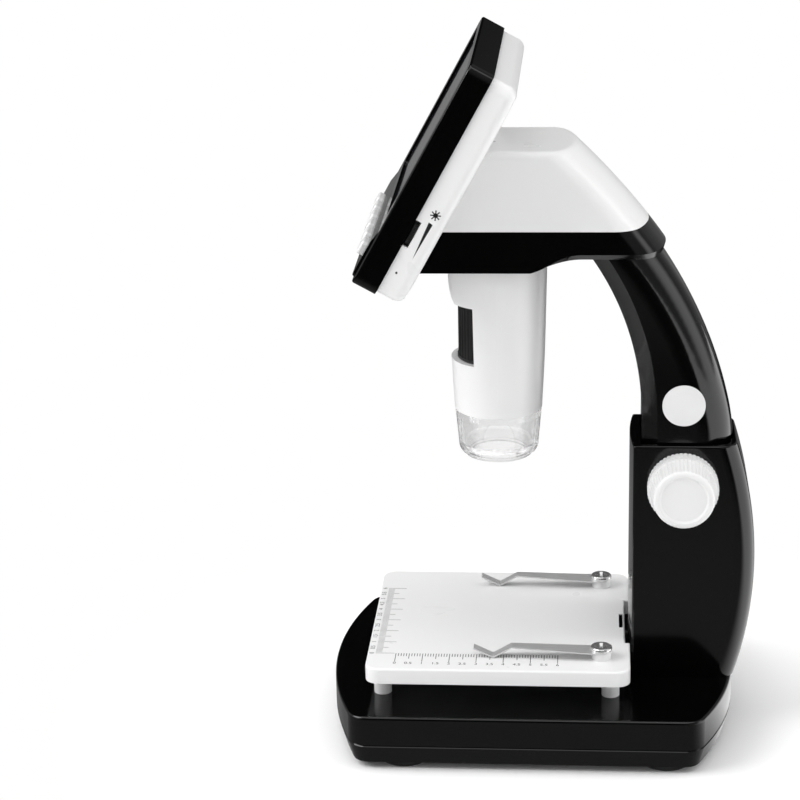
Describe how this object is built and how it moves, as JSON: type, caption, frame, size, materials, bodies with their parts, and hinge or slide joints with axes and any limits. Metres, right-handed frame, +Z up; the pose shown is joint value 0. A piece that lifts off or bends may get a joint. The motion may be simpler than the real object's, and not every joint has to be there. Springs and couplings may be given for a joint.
{
  "type": "lcd digital microscope",
  "caption": "Bench microscope with a tilted display on a rack-driven arm, a vertical camera barrel with clear cup, and a raised white stage with spring clips.",
  "frame": {"origin": "on the table under the middle of the outline's bounding box", "axes": "+X to the right of a user who faces the display, +Y to the back, +Z up; the display faces -Y and up"},
  "size_m": [0.112, 0.158, 0.2599],
  "materials": {
    "gloss_white": "glossy white moulded plastic",
    "gloss_black": "glossy black moulded plastic",
    "chrome": "chromed screw heads",
    "zinc_screws": "zinc plated screws",
    "steel_plate": "mill finish plate",
    "rubber_feet": "matt black rubber",
    "clip_steel": "spring steel, lightly brushed",
    "shaft_steel": "ground steel rod",
    "nylon": "natural nylon",
    "inner_plastic": "matt black moulding",
    "battery_wrap": "shrink wrap",
    "display_glass": "smoked clear window over a dark display",
    "lcd_metal": "thin metal frame",
    "keypad_rubber": "soft silicone",
    "circuit_board": "green solder mask",
    "wheel_black": "matt black plastic",
    "socket_steel": "plated steel",
    "wheel_rubber": "ribbed matt black grip",
    "lens_glass": "coated glass",
    "led_epoxy": "clear epoxy over white dies",
    "clear_acrylic": "clear moulded acrylic",
    "button_white": "white moulded key caps"
  },
  "bodies": {
    "base": {"base_top_shell": "gloss_black", "base_bottom_cover": "gloss_black", "base_screws": "zinc_screws", "base_ballast": "steel_plate", "rubber_feet": "rubber_feet", "stage_plate": "gloss_white", "stage_screws": "zinc_screws", "clip_screws": "chrome", "column_right": "gloss_black", "column_left": "gloss_black", "column_screws": "zinc_screws", "column_base_screws": "zinc_screws", "knob_washers": "nylon"},
    "drive": {"knob_right": "gloss_white", "knob_left": "gloss_white", "knob_shaft": "shaft_steel", "pinion": "nylon"},
    "arm": {"rack": "nylon", "rack_screws": "zinc_screws", "arm_body": "gloss_black", "arm_front_cover": "gloss_black", "arm_disc": "gloss_white", "arm_screws": "zinc_screws", "head_lower_shell": "gloss_black", "head_top_cap": "gloss_white", "head_screws": "zinc_screws", "battery_tray": "inner_plastic", "tray_screws": "zinc_screws", "battery": "battery_wrap", "screen_rear_shell": "gloss_white", "screen_bezel": "gloss_black", "housing_screws": "zinc_screws", "display_glass": "display_glass", "lcd_panel": "lcd_metal", "control_panel": "gloss_black", "keypad_mat": "keypad_rubber", "main_board": "circuit_board", "board_screws": "zinc_screws", "potentiometer": "inner_plastic", "usb_socket": "socket_steel", "barrel_shell": "gloss_white", "barrel_screws": "zinc_screws", "barrel_ring": "inner_plastic", "led_ring_board": "circuit_board", "leds": "led_epoxy", "sensor_board": "circuit_board"},
    "brightness_wheel": {"brightness_wheel": "wheel_black"},
    "focus_wheel": {"focus_wheel": "wheel_rubber"},
    "carriage": {"lens_carriage": "inner_plastic", "lenses": "lens_glass"},
    "clear_cup": {"clear_cup": "clear_acrylic"},
    "clip_right": {"clip_right": "clip_steel"},
    "clip_left": {"clip_left": "clip_steel"},
    "button_1": {"button_1": "button_white"},
    "button_2": {"button_2": "button_white"},
    "button_3": {"button_3": "button_white"},
    "button_4": {"button_4": "button_white"},
    "button_5": {"button_5": "button_white"},
    "button_6": {"button_6": "button_white"}
  },
  "joints": [
    {"name": "arm_lift", "type": "slide", "parent": "base", "child": "arm", "axis": [0, 0, 1], "range_m": [-0.012, 0]},
    {"name": "lift_knob", "type": "hinge", "parent": "base", "child": "drive", "pos_m": [0, 0.05185, 0.0986], "axis": [1, 0, 0], "range_deg": [0, 115]},
    {"name": "focus_turn", "type": "hinge", "parent": "arm", "child": "focus_wheel", "pos_m": [0, -0.01595, 0.1546], "axis": [0, 0, 1], "range_deg": [-181, 181]},
    {"name": "lens_slide", "type": "slide", "parent": "arm", "child": "carriage", "axis": [0, 0, 1], "range_m": [-0.004, 0.004]},
    {"name": "brightness_turn", "type": "hinge", "parent": "arm", "child": "brightness_wheel", "pos_m": [0.0416, -0.04319, 0.20151], "axis": [0, -0.8746, 0.4848], "range_deg": [-130, 130]},
    {"name": "cup_pull", "type": "slide", "parent": "arm", "child": "clear_cup", "axis": [0, 0, 1], "range_m": [-0.03, 0]},
    {"name": "clip_right_swing", "type": "hinge", "parent": "base", "child": "clip_right", "pos_m": [0.0333, 0.0225, 0.0395], "axis": [0, 0, 1], "range_deg": [-35, 60]},
    {"name": "clip_left_swing", "type": "hinge", "parent": "base", "child": "clip_left", "pos_m": [-0.0333, 0.0225, 0.0395], "axis": [0, 0, 1], "range_deg": [-60, 35]},
    {"name": "button_1_press", "type": "slide", "parent": "arm", "child": "button_1", "axis": [0, 0.8746, -0.4848], "range_m": [0, 0.0006], "stiffness_N_per_m": 400, "springref_m": -0.0005},
    {"name": "button_2_press", "type": "slide", "parent": "arm", "child": "button_2", "axis": [0, 0.8746, -0.4848], "range_m": [0, 0.0006], "stiffness_N_per_m": 400, "springref_m": -0.0005},
    {"name": "button_3_press", "type": "slide", "parent": "arm", "child": "button_3", "axis": [0, 0.8746, -0.4848], "range_m": [0, 0.0006], "stiffness_N_per_m": 400, "springref_m": -0.0005},
    {"name": "button_4_press", "type": "slide", "parent": "arm", "child": "button_4", "axis": [0, 0.8746, -0.4848], "range_m": [0, 0.0006], "stiffness_N_per_m": 400, "springref_m": -0.0005},
    {"name": "button_5_press", "type": "slide", "parent": "arm", "child": "button_5", "axis": [0, 0.8746, -0.4848], "range_m": [0, 0.0006], "stiffness_N_per_m": 400, "springref_m": -0.0005},
    {"name": "button_6_press", "type": "slide", "parent": "arm", "child": "button_6", "axis": [0, 0.8746, -0.4848], "range_m": [0, 0.0006], "stiffness_N_per_m": 400, "springref_m": -0.0005}
  ],
  "couplings": [
    {"joint": "lift_knob", "follows": "arm_lift", "rad_per_m": -166.67},
    {"joint": "focus_turn", "follows": "lens_slide", "rad_per_m": 785.4}
  ]
}
